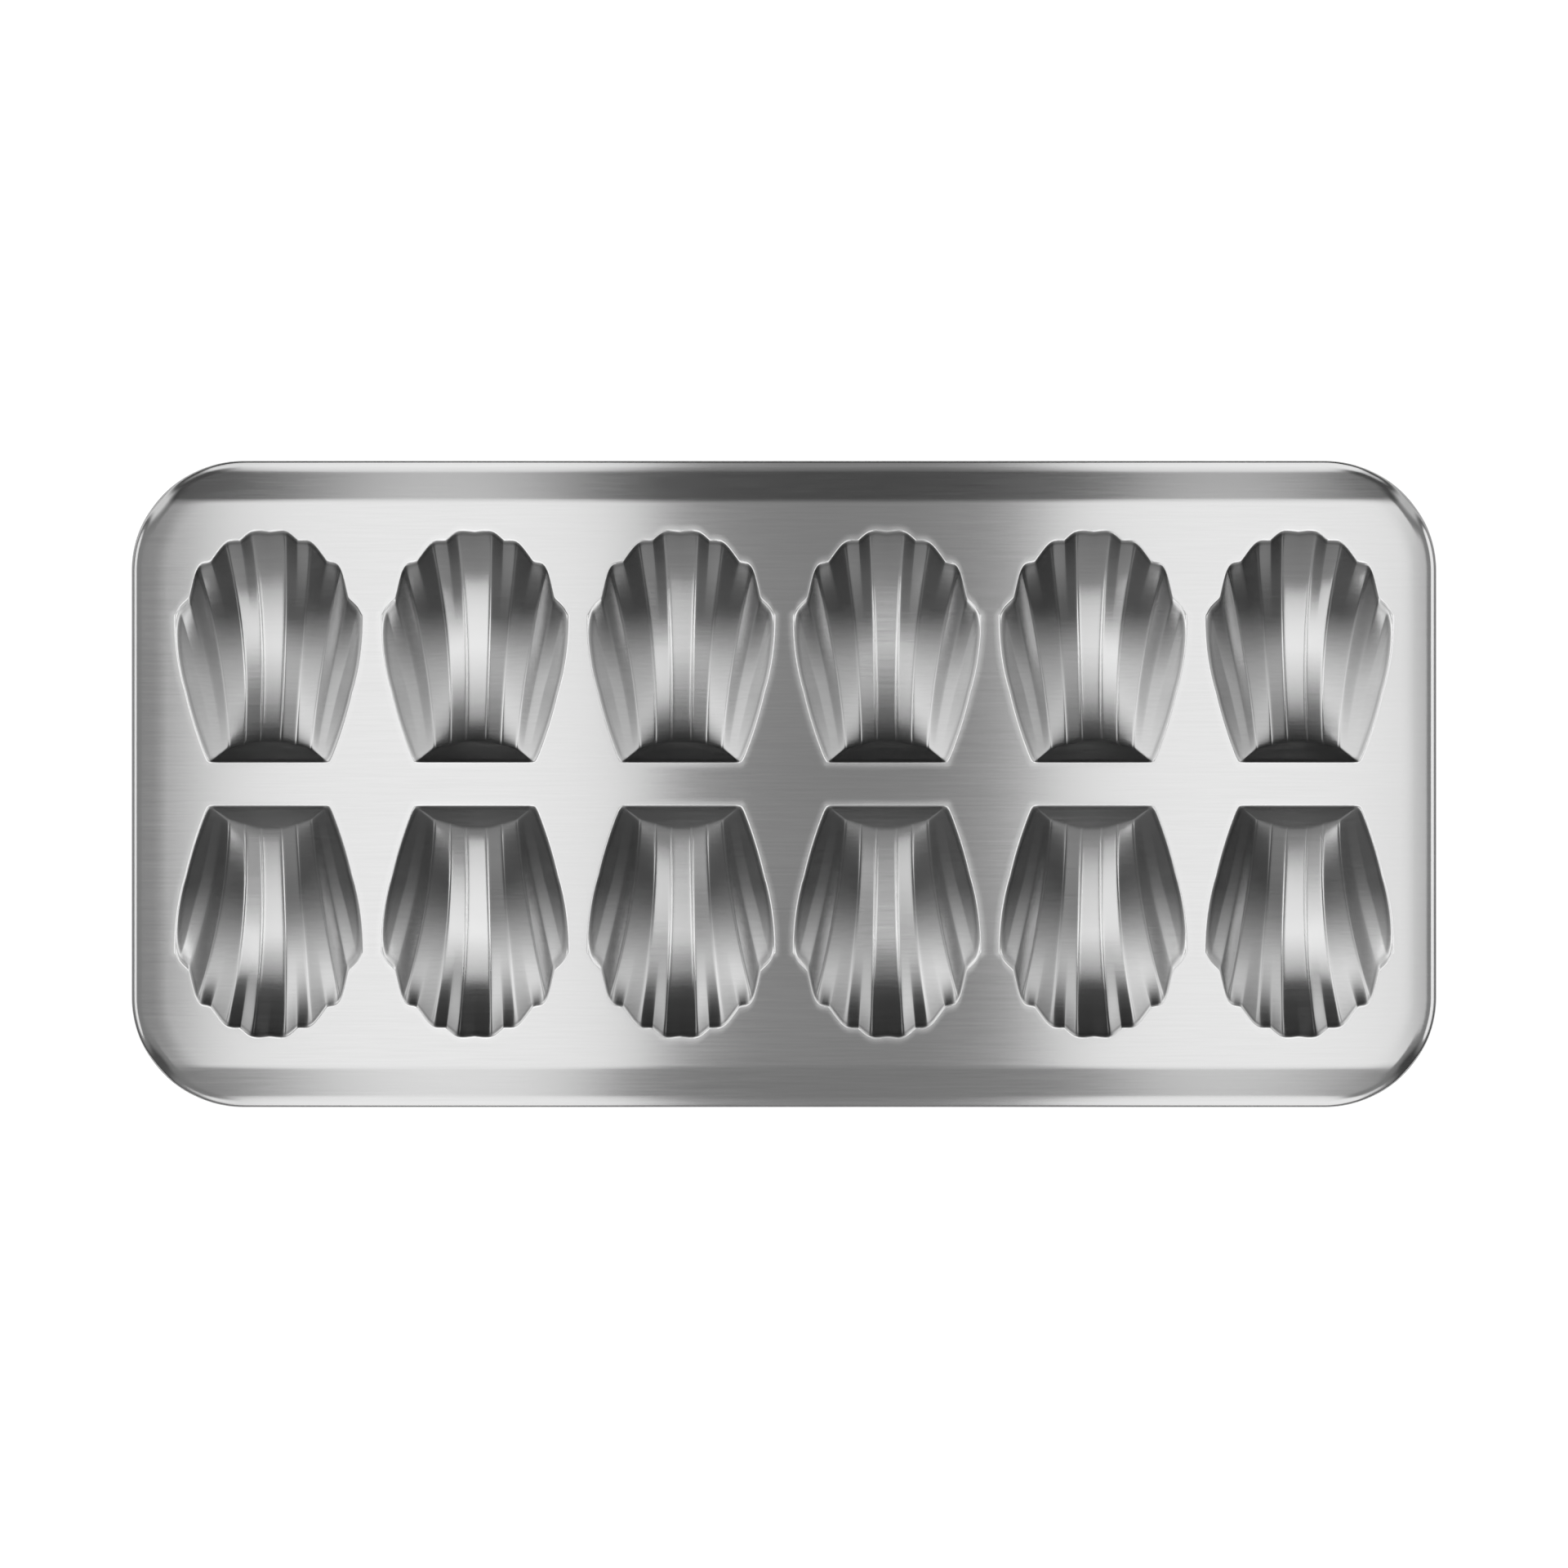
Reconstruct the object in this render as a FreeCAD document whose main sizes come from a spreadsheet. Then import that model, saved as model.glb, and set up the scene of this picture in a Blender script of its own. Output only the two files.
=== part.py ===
import FreeCAD, Part
import Sketcher
import math
import os
from FreeCAD import Placement, Rotation, Vector

# Madeleine pan: a pressed steel sheet with twelve shell moulds and a rolled, wired rim.
# The sheet is divided at its press lines, and the divided pieces meet face to face.
# The origin is on the resting surface below the middle of the pan. X runs along the pan,
# Y towards the rear row and Z up. The pan stands on the bottoms of its moulds.

doc = FreeCAD.newDocument("MadeleinePan")

# Driving dimensions, in millimetres and degrees
SIZES = [
    ("sheet_thickness", 0.6),
    ("mould_columns", 6),
    ("mould_width", 56.9),
    ("mould_length", 71.1),
    ("mould_depth", 12.5),
    ("base_width", 36.6),
    ("end_wall_run", 7.1),
    ("end_wall_angle", 41.0),
    ("mould_gap", 6.26),
    ("row_gap", 13.4),
    ("end_land", 13.65),
    ("side_land", 8.9),
    ("side_run", 12.55),
    ("side_slope", 13.5),
    ("crease_radius", 3.75),
    ("corner_radius", 34.0),
    ("rim_land", 3.0),
    ("edge_radius", 1.2),
    ("skirt_height", 1.3),
    ("wire_diameter", 2.0),
    ("wire_clearance", 0.05),
    ("cut_overrun", 5.0),
]

sheet = doc.addObject("Spreadsheet::Sheet", "sizes")
for row, (alias, number) in enumerate(SIZES, start=1):
    sheet.set(f"A{row}", str(number))
    sheet.setAlias(f"A{row}", alias)
doc.recompute()

# Sizes that follow from the driving ones, as expressions on the sheet
DECK_HEIGHT = "(sizes.mould_depth + sizes.sheet_thickness)"
MOULD_PITCH = "(sizes.mould_width + sizes.mould_gap)"
HALF_LENGTH = f"((sizes.mould_columns * {MOULD_PITCH} - sizes.mould_gap) / 2 + sizes.end_land)"
CREASE_PLACE = "(sizes.row_gap / 2 + sizes.mould_length + sizes.side_land)"
HALF_WIDTH = f"({CREASE_PLACE} + sizes.side_run)"
LAND_PLACE = f"({HALF_WIDTH} - sizes.rim_land)"
SIDE_DROP = f"(({LAND_PLACE} - {CREASE_PLACE}) * tan(sizes.side_slope))"
SKIRT_FOOT = f"({DECK_HEIGHT} - {SIDE_DROP} - sizes.edge_radius - sizes.skirt_height)"
CURL_BORE = "(sizes.wire_diameter / 2 + sizes.wire_clearance)"
CURL_RADIUS = f"({CURL_BORE} + sizes.sheet_thickness)"

# How near counts as touching, as a share of the sheet, and how closely an edge keeps to an axis
TOUCH_SHARE = 0.01
LENGTHWISE = 0.5
UPRIGHT = 0.9
QUARTER_TURN = math.radians(90)
HALF_TURN_DEGREES = 180


def worked_out(expression):
    """The number that an expression on the sheet gives."""
    return float(sheet.evalExpression(expression))


def new_sketch(body, name, role, height="0"):
    """A sketch on one of the body's own origin planes, raised by height."""
    sketch = body.newObject("Sketcher::SketchObject", name)
    plane = next(feature for feature in body.Origin.OriginFeatures if feature.Role == role)
    sketch.AttachmentSupport = [(plane, "")]
    sketch.MapMode = "FlatFace"
    sketch.setExpression("AttachmentOffset.Base.z", height)
    return sketch


def bind(sketch, kind, where, expression):
    """Add a dimension whose value follows the sheet."""
    index = sketch.addConstraint(Sketcher.Constraint(kind, *where, worked_out(expression)))
    sketch.setExpression(f"Constraints[{index}]", expression)


def place_point(sketch, curve, position, across, up):
    """Tie one point of a curve to its place from the sketch's origin."""
    bind(sketch, "DistanceX", (-1, 1, curve, position), across)
    bind(sketch, "DistanceY", (-1, 1, curve, position), up)


def add_polygon(sketch, corners):
    """A closed outline of straight lines through corners given as expressions."""
    points = [Vector(worked_out(across), worked_out(up), 0) for across, up in corners]
    first = sketch.GeometryCount
    count = len(points)
    for index in range(count):
        sketch.addGeometry(Part.LineSegment(points[index], points[(index + 1) % count]))
    for index, (across, up) in enumerate(corners):
        following = first + (index + 1) % count
        sketch.addConstraint(Sketcher.Constraint("Coincident", first + index, 2, following, 1))
        place_point(sketch, first + index, 1, across, up)


def add_rounded_rectangle(sketch, half_length, half_width, radius):
    """A rounded rectangle about the origin that starts in the middle of its front side."""
    long_half, wide_half, bend = (worked_out(size) for size in (half_length, half_width, radius))
    centres = [(1, -1), (1, 1), (-1, 1), (-1, -1)]
    straight, wide_straight = long_half - bend, wide_half - bend
    ends = [
        (Vector(0, -wide_half, 0), Vector(straight, -wide_half, 0)),
        (Vector(long_half, -wide_straight, 0), Vector(long_half, wide_straight, 0)),
        (Vector(straight, wide_half, 0), Vector(-straight, wide_half, 0)),
        (Vector(-long_half, wide_straight, 0), Vector(-long_half, -wide_straight, 0)),
        (Vector(-straight, -wide_half, 0), Vector(0, -wide_half, 0)),
    ]
    for quarter, (start, end) in enumerate(ends):
        sketch.addGeometry(Part.LineSegment(start, end))
        if quarter < len(centres):
            across, along = centres[quarter]
            centre = Vector(across * straight, along * wide_straight, 0)
            begin = QUARTER_TURN * (quarter - 1)
            circle = Part.Circle(centre, Vector(0, 0, 1), bend)
            sketch.addGeometry(Part.ArcOfCircle(circle, begin, begin + QUARTER_TURN))
    last = sketch.GeometryCount - 1
    for curve in range(last):
        sketch.addConstraint(Sketcher.Constraint("Tangent", curve, 2, curve + 1, 1))
    sketch.addConstraint(Sketcher.Constraint("Coincident", last, 2, 0, 1))
    sketch.addConstraint(Sketcher.Constraint("PointOnObject", 0, 1, -2))
    sketch.addConstraint(Sketcher.Constraint("Horizontal", 0))
    for quarter, (across, along) in enumerate(centres):
        arc = 2 * quarter + 1
        place_point(sketch, arc, 3, f"{across} * ({half_length} - {radius})",
                    f"{along} * ({half_width} - {radius})")
        if quarter == 0:
            bind(sketch, "Radius", (arc,), radius)
        else:
            sketch.addConstraint(Sketcher.Constraint("Equal", 1, arc))


def outline_gap(point, half_length, half_width, radius):
    """How far a point lies, in plan, from a rounded rectangle's outline."""
    across = max(abs(point.x) - half_length + radius, 0)
    along = max(abs(point.y) - half_width + radius, 0)
    return abs(math.hypot(across, along) - radius)


def tray_form(name, inset, foot):
    """The raised tray as a solid block, every face moved inwards by inset."""
    top = f"({DECK_HEIGHT} - {inset})"
    half_length = f"({HALF_LENGTH} - {inset})"
    half_width = f"({HALF_WIDTH} - {inset})"
    radius = f"(sizes.corner_radius - {inset})"
    crease = f"({CREASE_PLACE} - {inset} * tan(sizes.side_slope / 2))"
    land = f"({LAND_PLACE} - {inset} * tan(sizes.side_slope / 2))"
    body = doc.addObject("PartDesign::Body", name)

    plan = new_sketch(body, f"{name}_plan", "XY_Plane", top)
    add_rounded_rectangle(plan, half_length, half_width, radius)
    block = body.newObject("PartDesign::Pad", f"{name}_block")
    block.Profile = plan
    block.Reversed = True
    block.setExpression("Length", f"{top} - {foot}")

    # Both side slopes are planed off from the crease to a level land at the rim
    slopes = new_sketch(body, f"{name}_slopes", "YZ_Plane")
    outer = f"({HALF_WIDTH} + sizes.cut_overrun)"
    above = f"({top} + sizes.cut_overrun * tan(sizes.side_slope))"
    below = f"({top} - {SIDE_DROP})"
    for side in ("1", "-1"):
        add_polygon(slopes, [
            (f"{side} * ({crease} - sizes.cut_overrun)", above),
            (f"{side} * {outer}", above),
            (f"{side} * {outer}", below),
            (f"{side} * {land}", below),
        ])
    planed = body.newObject("PartDesign::Pocket", f"{name}_planed")
    planed.Profile = slopes
    planed.Type = "ThroughAll"
    planed.SideType = "Symmetric"
    doc.recompute()

    bend_places = [worked_out(place) for place in (crease, land)]
    near = TOUCH_SHARE * worked_out("sizes.sheet_thickness")
    bends = [f"Edge{index}" for index, edge in enumerate(planed.Shape.Edges, start=1)
             if abs(edge.tangentAt(edge.FirstParameter).x) > LENGTHWISE
             and any(all(abs(abs(vertex.Y) - place) < near for vertex in edge.Vertexes)
                     for place in bend_places)]
    bent = body.newObject("PartDesign::Fillet", f"{name}_bends")
    bent.Base = (planed, bends)
    bent.setExpression("Radius", f"sizes.crease_radius - {inset}")
    doc.recompute()

    limits = [worked_out(size) for size in (half_length, half_width, radius)]
    foot_height = worked_out(foot)
    rim_edges = []
    for index, edge in enumerate(bent.Shape.Edges, start=1):
        middle = edge.valueAt((edge.FirstParameter + edge.LastParameter) / 2)
        points = [vertex.Point for vertex in edge.Vertexes] + [middle]
        upright = abs(edge.tangentAt(edge.FirstParameter).z) > UPRIGHT
        if upright or min(point.z for point in points) < foot_height + near:
            continue
        if all(outline_gap(point, *limits) < near for point in points):
            rim_edges.append(f"Edge{index}")
    turned = body.newObject("PartDesign::Fillet", f"{name}_turned_edge")
    turned.Base = (bent, rim_edges)
    turned.setExpression("Radius", f"sizes.edge_radius - {inset}")
    doc.recompute()
    return body


# The shell's fluted form, as shares of the mould's own sizes. Lines run from the flat end to the
# fan, over half of the mould: the middle, then grooves and the ridges between them by turns,
# and last the side edge at deck level.
BASE_ACROSS_SHARES = [0, 0.169, 0.3, 0.432, 0.56, 0.689, 0.792, 0.896, 1]
BASE_RUN_SHARES = [1, 1, 0.93, 0.86, 0.765, 0.669, 0.446, 0.223, 0]
BELLY_ACROSS_SHARES = [0, 0.123, 0.222, 0.323, 0.436, 0.55, 0.645, 0.738, 0.85]
BELLY_DEPTH_SHARES = [1, 1, 0.95, 0.92, 0.76, 0.62, 0.42, 0.24, 0]
TIP_ACROSS_SHARES = [0, 0.178, 0.306, 0.457, 0.622, 0.77, 0.854, 0.956, 1]
TIP_ALONG_SHARES = [0.992, 1, 0.955, 0.955, 0.864, 0.852, 0.705, 0.667, 0.633]
BELLY_PLACE_SHARE = 0.47
BASE_SWELL_SHARE = 0.5
FAN_SWELL_SHARE = 0.45
LIP_SPREAD_SHARE = 1.5


def shell_line(index, half_width, half_base, length, depth, wall_run, wall_rise, flat_end):
    """One line of the shell, as two curves that meet at its deepest point."""
    side = -1 if index < 0 else 1
    rank = abs(index)
    run = wall_run * BASE_RUN_SHARES[rank]
    base = Vector(side * half_base * BASE_ACROSS_SHARES[rank], flat_end + run, -run * wall_rise)
    tip = Vector(side * half_width * TIP_ACROSS_SHARES[rank],
                 flat_end + length * TIP_ALONG_SHARES[rank], 0)
    belly = Vector(side * half_width * BELLY_ACROSS_SHARES[rank],
                   base.y + BELLY_PLACE_SHARE * (tip.y - base.y),
                   -depth * BELLY_DEPTH_SHARES[rank])
    heading = Vector((tip.x - base.x) / (tip.y - base.y), 1, 0)
    before = belly - heading * (1 - BASE_SWELL_SHARE) * (belly.y - base.y)
    after = belly + heading * FAN_SWELL_SHARE * (tip.y - belly.y)
    curves = []
    for poles in ([base, before, belly], [belly, after, tip]):
        curve = Part.BezierCurve()
        curve.setPoles(poles)
        curves.append(curve.toShape())
    return base, curves, tip


def shell_form(grow, spread):
    """The shell as a solid below deck level: the cavity, or its outer skin where grow is a wall."""
    half_width = worked_out("sizes.mould_width") / 2 + spread
    half_base = worked_out("sizes.base_width") / 2 + spread
    angle = math.radians(worked_out("sizes.end_wall_angle"))
    setback = grow / math.sin(angle)
    length = worked_out("sizes.mould_length") + setback + spread
    depth = worked_out("sizes.mould_depth") + grow
    wall_run = worked_out("sizes.end_wall_run") + grow
    last = len(TIP_ALONG_SHARES) - 1
    lines = [shell_line(index, half_width, half_base, length, depth, wall_run, math.tan(angle),
                        -setback) for index in range(-last, last + 1)]
    faces = []
    for (_, curves, _), (_, next_curves, _) in zip(lines, lines[1:]):
        faces += [Part.makeRuledSurface(one, other) for one, other in zip(curves, next_curves)]
    bases = [base for base, _, _ in lines]
    tips = [tip for _, _, tip in lines]
    faces.append(Part.Face(Part.makePolygon(bases + bases[:1])))
    mouth = lines[0][1] + lines[-1][1] + [Part.makeLine(bases[0], bases[-1])]
    mouth += [Part.makeLine(one, other) for one, other in zip(tips, tips[1:])]
    faces.append(Part.Face(Part.Wire(Part.__sortEdges__(mouth))))
    shell = Part.makeShell(faces)
    shell.sewShape()
    solid = Part.makeSolid(shell)
    if solid.Volume < 0:
        solid.reverse()
    return solid


def seat_mould(item, column, row):
    """Put a shell at its column and row, flat ends towards the pan's middle line."""
    turn = 0 if row == "rear" else HALF_TURN_DEGREES
    side = 1 if row == "rear" else -1
    item.Placement = Placement(Vector(), Rotation(Vector(0, 0, 1), turn))
    across = f"({column} - (sizes.mould_columns + 1) / 2) * {MOULD_PITCH}"
    item.setExpression("Placement.Base.x", across)
    item.setExpression("Placement.Base.y", f"{side} * sizes.row_gap / 2")
    item.setExpression("Placement.Base.z", DECK_HEIGHT)


def shell_moulds():
    """Twelve moulds, and the twelve outer skins that cut their apertures in the tray."""
    wall = worked_out("sizes.sheet_thickness")
    skin = doc.addObject("Part::Feature", "shell_skin")
    skin.Shape = shell_form(wall, LIP_SPREAD_SHARE * wall)
    cavity = doc.addObject("Part::Feature", "shell_cavity")
    cavity.Shape = shell_form(0, 0)
    pattern = doc.addObject("Part::Cut", "shell_pattern")
    pattern.Base = skin
    pattern.Tool = cavity
    doc.recompute()
    moulds, plugs = [], []
    for row in ("rear", "front"):
        for column in range(1, int(worked_out("sizes.mould_columns")) + 1):
            mould = doc.addObject("Part::Feature", f"shell_mould_{row}_{column}")
            mould.Shape = pattern.Shape
            seat_mould(mould, column, row)
            moulds.append(mould)
            plug = doc.addObject("Part::Feature", f"plug_{row}_{column}")
            plug.Shape = skin.Shape
            seat_mould(plug, column, row)
            plugs.append(plug)
    return moulds, plugs


def tray_sheet(plugs):
    """Deck, side slopes, level rim land and skirt, with an aperture for each mould."""
    outside = tray_form("tray_outside", "0", SKIRT_FOOT)
    inside = tray_form("tray_inside", "sizes.sheet_thickness",
                       f"({SKIRT_FOOT} - sizes.cut_overrun)")
    hollow = doc.addObject("Part::Cut", "tray_hollow")
    hollow.Base = outside
    hollow.Tool = inside
    apertures = doc.addObject("Part::Compound", "apertures")
    apertures.Links = plugs
    tray = doc.addObject("Part::Cut", "tray_sheet")
    tray.Base = hollow
    tray.Tool = apertures
    return tray


def rim_path(body, name):
    """The line that the wire follows, below the skirt and just inside its outer face."""
    path = new_sketch(body, name, "XY_Plane", SKIRT_FOOT)
    add_rounded_rectangle(path, f"({HALF_LENGTH} - {CURL_RADIUS})",
                          f"({HALF_WIDTH} - {CURL_RADIUS})",
                          f"(sizes.corner_radius - {CURL_RADIUS})")
    return path


def sweep(body, name, profile, path):
    """Carry a profile once round the rim."""
    pipe = body.newObject("PartDesign::AdditivePipe", name)
    pipe.Profile = profile
    pipe.Spine = (path, [])
    doc.recompute()
    return body


def rolled_rim():
    """The curl: three quarters of a turn from the skirt's foot, down, inwards and up."""
    body = doc.addObject("PartDesign::Body", "rolled_rim")
    path = rim_path(body, "curl_path")
    profile = new_sketch(body, "curl_profile", "YZ_Plane")
    place = (f"-1 * ({HALF_WIDTH} - {CURL_RADIUS})", SKIRT_FOOT)
    centre = Vector(*(worked_out(part) for part in place), 0)
    radii = (CURL_RADIUS, CURL_BORE)
    for radius in radii:
        circle = Part.Circle(centre, Vector(0, 0, 1), worked_out(radius))
        profile.addGeometry(Part.ArcOfCircle(circle, 2 * QUARTER_TURN, 5 * QUARTER_TURN))
    outer, inner = (profile.Geometry[index] for index in range(len(radii)))
    profile.addGeometry(Part.LineSegment(outer.StartPoint, inner.StartPoint))
    profile.addGeometry(Part.LineSegment(outer.EndPoint, inner.EndPoint))
    for arc, radius in enumerate(radii):
        place_point(profile, arc, 3, *place)
        bind(profile, "Radius", (arc,), radius)
        profile.addConstraint(Sketcher.Constraint("Coincident", arc, 1, 2, arc + 1))
        profile.addConstraint(Sketcher.Constraint("Coincident", arc, 2, 3, arc + 1))
        profile.addConstraint(Sketcher.Constraint("Horizontal", arc, 1, arc, 3))
        profile.addConstraint(Sketcher.Constraint("Vertical", arc, 2, arc, 3))
    return sweep(body, "curl", profile, path)


def rim_wire():
    """The wire that the curl closes round."""
    body = doc.addObject("PartDesign::Body", "rim_wire")
    path = rim_path(body, "wire_path")
    profile = new_sketch(body, "wire_profile", "YZ_Plane")
    place = (f"-1 * ({HALF_WIDTH} - {CURL_RADIUS})", SKIRT_FOOT)
    centre = Vector(*(worked_out(part) for part in place), 0)
    profile.addGeometry(Part.Circle(centre, Vector(0, 0, 1), worked_out("sizes.wire_diameter / 2")))
    place_point(profile, 0, 3, *place)
    bind(profile, "Radius", (0,), "sizes.wire_diameter / 2")
    return sweep(body, "wire", profile, path)


def check_document(nodes):
    """Stop if any object failed or any sub-part is not a sound solid."""
    for item in doc.Objects:
        if "Invalid" in item.State or "Error" in item.State:
            raise RuntimeError(f"{item.Label} did not build: {item.State}")
    for node in nodes:
        if node.Shape.isNull() or not node.Shape.isValid() or len(node.Shape.Solids) != 1:
            raise RuntimeError(f"{node.Label} is not one sound solid")


def write_parts(nodes):
    """One STEP file for each sub-part, named by its label."""
    os.makedirs("parts", exist_ok=True)
    for node in nodes:
        node.Shape.exportStep(f"parts/{node.Label}.step")
        box = node.Shape.optimalBoundingBox(False)
        print(f"{node.Label}: {node.Shape.Volume:.1f} mm3, "
              f"{box.XLength:.1f} x {box.YLength:.1f} x {box.ZLength:.1f} mm")


moulds, plugs = shell_moulds()
nodes = [tray_sheet(plugs), rolled_rim(), rim_wire()] + moulds
doc.recompute()
check_document(nodes)
write_parts(nodes)
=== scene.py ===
# %% [markdown]
# # A madeleine pan in brushed steel
# The pan is one pressed sheet: a flat deck with two creased side slopes, a narrow level land round
# the rim, twelve fluted shells, and a rolled edge with a wire inside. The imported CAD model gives
# every place and overall size, and this lesson dresses it. Each cell adds one piece or one finish.

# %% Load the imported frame
import math
import bmesh
import bpy
import numpy as np
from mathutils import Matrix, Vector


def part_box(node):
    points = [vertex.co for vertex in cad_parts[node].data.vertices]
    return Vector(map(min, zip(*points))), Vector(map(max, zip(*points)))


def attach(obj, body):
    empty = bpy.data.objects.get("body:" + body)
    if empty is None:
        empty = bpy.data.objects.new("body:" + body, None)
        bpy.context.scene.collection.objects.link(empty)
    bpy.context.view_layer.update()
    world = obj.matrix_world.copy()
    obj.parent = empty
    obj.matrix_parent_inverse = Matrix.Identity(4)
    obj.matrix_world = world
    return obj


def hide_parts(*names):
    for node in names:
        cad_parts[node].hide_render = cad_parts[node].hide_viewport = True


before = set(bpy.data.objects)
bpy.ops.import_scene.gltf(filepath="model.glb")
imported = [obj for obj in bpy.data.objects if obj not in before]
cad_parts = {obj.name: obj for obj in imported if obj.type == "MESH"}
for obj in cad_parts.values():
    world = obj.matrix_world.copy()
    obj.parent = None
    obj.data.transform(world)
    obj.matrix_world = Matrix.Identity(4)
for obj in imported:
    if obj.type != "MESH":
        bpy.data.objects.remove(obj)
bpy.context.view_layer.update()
MM = 0.001
print("CAD nodes:", len(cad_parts))

# %% [markdown]
# ## Places read from the frame
# Typing the places again would let the picture drift away from the CAD model. Reading them from
# the nodes' boxes keeps the two together, so only sizes within a piece are written down here.

# %% Measure the frame
SHEET_THICKNESS = 0.6 * MM
END_WALL_ANGLE = math.radians(41)
tray_low, tray_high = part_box("tray_sheet")
deck_height = tray_high.z
half_length = tray_high.x
half_width = tray_high.y
skirt_foot = tray_low.z
rear_nodes = sorted(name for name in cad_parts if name.startswith("shell_mould_rear"))
front_nodes = sorted(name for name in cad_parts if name.startswith("shell_mould_front"))
column_places = [sum(corner.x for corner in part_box(name)) / 2 for name in rear_nodes]
mould_pitch = column_places[1] - column_places[0]
row_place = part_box(rear_nodes[0])[0].y + SHEET_THICKNESS / math.sin(END_WALL_ANGLE)
print(f"deck at {deck_height / MM:.2f} mm, pitch {mould_pitch / MM:.2f} mm, "
      f"flat ends at {row_place / MM:.2f} mm from the middle")

# %% [markdown]
# ## One eased corner for every bend
# Pressed sheet has no sharp corner: a bend is two flats joined by a short curve. One small
# function stands for all of them. It is flat before the bend, rises steadily after it, and follows
# a parabola between, so the crease, the lip of each mould and the flutes all share it.

# %% Ease a bend
def eased_ramp(value, ease):
    """Zero up to -ease, value from ease on, and a parabola between them."""
    curved = (value + ease) ** 2 / (4 * ease)
    return np.where(value < -ease, 0, np.where(value > ease, value, curved))


print("a ramp eased over 1 mm reaches", eased_ramp(np.array([0.0, 1.0, 2.0]), 1.0))

# %% [markdown]
# ## The fluted shell
# A madeleine shell is a fan of lines from a narrow flat end to a scalloped end: grooves run to the
# lobes of the scallop and ridges to its notches. A sculpted mesh could copy that by eye. Here each
# line is two curves that meet at its deepest point, and the surface bends at every line by as much
# as its neighbours ask, so the flutes stay crisp and the whole shell follows a few shares.
#
# Each list of shares runs from rank 0, the middle line, to the last rank, the side edge. Odd ranks
# are grooves and even ranks are ridges.

# %% Lines of the shell
MOULD_WIDTH = 56.9 * MM
MOULD_LENGTH = 71.1 * MM
MOULD_DEPTH = 12.5 * MM
BASE_WIDTH = 36.6 * MM
END_WALL_RUN = 7.1 * MM
BASE_ACROSS_SHARES = [0, 0.169, 0.3, 0.432, 0.56, 0.689, 0.792, 0.896, 1]
BASE_RUN_SHARES = [1, 1, 0.915, 0.83, 0.735, 0.64, 0.42, 0.2, 0.02]
BELLY_ACROSS_SHARES = [0, 0.123, 0.222, 0.323, 0.436, 0.55, 0.645, 0.745, 0.885]
BELLY_DEPTH_SHARES = [1, 1, 0.94, 0.9, 0.76, 0.62, 0.38, 0.24, 0]
TIP_ACROSS_SHARES = [0, 0.178, 0.306, 0.457, 0.622, 0.77, 0.854, 0.956, 1]
TIP_ALONG_SHARES = [0.992, 1, 0.955, 0.955, 0.864, 0.852, 0.705, 0.667, 0.633]
BELLY_PLACE_SHARE = 0.47
BASE_SWELL_SHARE = 0.5
FAN_SWELL_SHARE = 0.45
SIDE_BULGES = np.array([0.54, 0.9]) * MM
LAST_RANK = len(TIP_ALONG_SHARES) - 1


def shell_poles():
    """Base, belly and tip of the lines on one half, with the handles between them."""
    run = END_WALL_RUN * np.array(BASE_RUN_SHARES)
    base = np.stack([BASE_WIDTH / 2 * np.array(BASE_ACROSS_SHARES), run,
                     -run * math.tan(END_WALL_ANGLE)], axis=1)
    tip = np.stack([MOULD_WIDTH / 2 * np.array(TIP_ACROSS_SHARES),
                    MOULD_LENGTH * np.array(TIP_ALONG_SHARES), np.zeros(len(run))], axis=1)
    belly = np.stack([MOULD_WIDTH / 2 * np.array(BELLY_ACROSS_SHARES),
                      base[:, 1] + BELLY_PLACE_SHARE * (tip[:, 1] - base[:, 1]),
                      -MOULD_DEPTH * np.array(BELLY_DEPTH_SHARES)], axis=1)
    lean = (tip[:, 0] - base[:, 0]) / (tip[:, 1] - base[:, 1])
    heading = np.stack([lean, np.ones(len(lean)), np.zeros(len(lean))], axis=1)
    before = belly - heading * (1 - BASE_SWELL_SHARE) * (belly - base)[:, 1:2]
    after = belly + heading * FAN_SWELL_SHARE * (tip - belly)[:, 1:2]
    after[-len(SIDE_BULGES):, 0] += SIDE_BULGES
    return base, before, belly, after, tip


def on_curve(first, middle, last, share):
    """A point on a quadratic curve."""
    return first * (1 - share) ** 2 + middle * 2 * share * (1 - share) + last * share ** 2


def both_halves(points):
    """The lines of one half and their mirror, from one side edge to the other."""
    return np.concatenate([points[:0:-1] * [-1, 1, 1], points])


print("lines in a shell:", len(both_halves(shell_poles()[0])))

# %% [markdown]
# The mesh lies along those lines. Its columns crowd together at the grooves, where the bend is
# tight. Between two lines the sheet is flat. Near the flat end the ridges are part of the flat
# between two grooves, and they rise towards the fan. A fine bead stands along each groove.

# %% Join the lines across the shell
GROOVE_STEP_SHARES = [0, 0.035, 0.08, 0.15, 0.28, 0.5, 0.78, 0.95]
EDGE_STEP_SHARES = [0.035, 0.08, 0.15, 0.28]
RANK_DIGITS = 4
GROOVE_EASE_SHARE = 0.05
LOBE_EASE_SHARE = 0.5
LOBE_EASE_POWER = 12
RIDGE_EASE_SHARE = 0.15
NOTCH_EASE_SHARE = 0.06
RIDGE_STARTS = {0: 0.5, 2: 0.28, 4: 0.25}
RIDGE_GROWTH = 1.4
BEAD_HEIGHT = 0.08 * MM
BEAD_WIDTH = 0.28 * MM
BEAD_RANKS = (1, 3, 5)


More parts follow.
